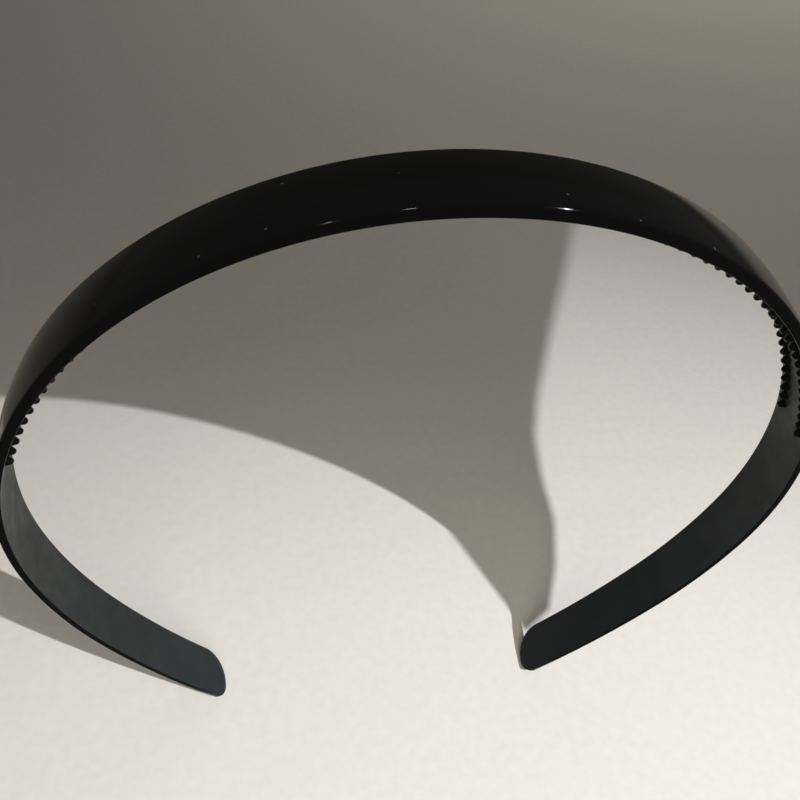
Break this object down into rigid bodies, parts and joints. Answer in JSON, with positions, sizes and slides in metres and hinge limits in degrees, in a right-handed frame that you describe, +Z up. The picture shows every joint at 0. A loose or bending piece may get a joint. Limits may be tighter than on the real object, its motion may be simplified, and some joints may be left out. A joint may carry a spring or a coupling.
{
  "type": "headband",
  "caption": "Narrow springy plastic headband, glossy outside and matt inside, with two rows of small teeth and open rounded tips.",
  "frame": {"origin": "on the plane that the two tips stand on, midway between the tips and midway across the band's width", "axes": "+Z up through the middle of the crown, +X to the right seen from the front, +Y across the band's width from its front edge to its back edge"},
  "size_m": [0.1308, 0.0108, 0.1334],
  "materials": {
    "band": "moulded black plastic, glossy outer face and edges, matt inner face",
    "teeth": "moulded black plastic, glossy"
  },
  "bodies": {
    "crown": {"crown_band": "band", "crown_teeth_front": "teeth", "crown_teeth_back": "teeth"},
    "temple_right": {"temple_band_right": "band", "temple_teeth_front_right": "teeth", "temple_teeth_back_right": "teeth"},
    "side_right": {"side_band_right": "band", "side_teeth_front_right": "teeth", "side_teeth_back_right": "teeth"},
    "leg_right": {"leg_band_right": "band", "tip_band_right": "band"},
    "temple_left": {"temple_band_left": "band", "temple_teeth_front_left": "teeth", "temple_teeth_back_left": "teeth"},
    "side_left": {"side_band_left": "band", "side_teeth_front_left": "teeth", "side_teeth_back_left": "teeth"},
    "leg_left": {"leg_band_left": "band", "tip_band_left": "band"}
  },
  "joints": [
    {"name": "crown_flex_right", "type": "hinge", "parent": "crown", "child": "temple_right", "pos_m": [0.0271, 0, 0.12755], "axis": [0, -1, 0], "range_deg": [0, 6], "stiffness_Nm_per_rad": 0.6},
    {"name": "temple_flex_right", "type": "hinge", "parent": "temple_right", "child": "side_right", "pos_m": [0.05817, 0, 0.09792], "axis": [0, -1, 0], "range_deg": [0, 6]},
    {"name": "side_flex_right", "type": "hinge", "parent": "side_right", "child": "leg_right", "pos_m": [0.06406, 0, 0.05485], "axis": [0, -1, 0], "range_deg": [0, 6]},
    {"name": "crown_flex_left", "type": "hinge", "parent": "crown", "child": "temple_left", "pos_m": [-0.0271, 0, 0.12755], "axis": [0, 1, 0], "range_deg": [0, 6], "stiffness_Nm_per_rad": 0.6},
    {"name": "temple_flex_left", "type": "hinge", "parent": "temple_left", "child": "side_left", "pos_m": [-0.05817, 0, 0.09792], "axis": [0, 1, 0], "range_deg": [0, 6]},
    {"name": "side_flex_left", "type": "hinge", "parent": "side_left", "child": "leg_left", "pos_m": [-0.06406, 0, 0.05485], "axis": [0, 1, 0], "range_deg": [0, 6]}
  ],
  "couplings": [
    {"joint": "temple_flex_right", "follows": "crown_flex_right", "ratio": 1},
    {"joint": "side_flex_right", "follows": "crown_flex_right", "ratio": 1},
    {"joint": "temple_flex_left", "follows": "crown_flex_left", "ratio": 1},
    {"joint": "side_flex_left", "follows": "crown_flex_left", "ratio": 1}
  ]
}
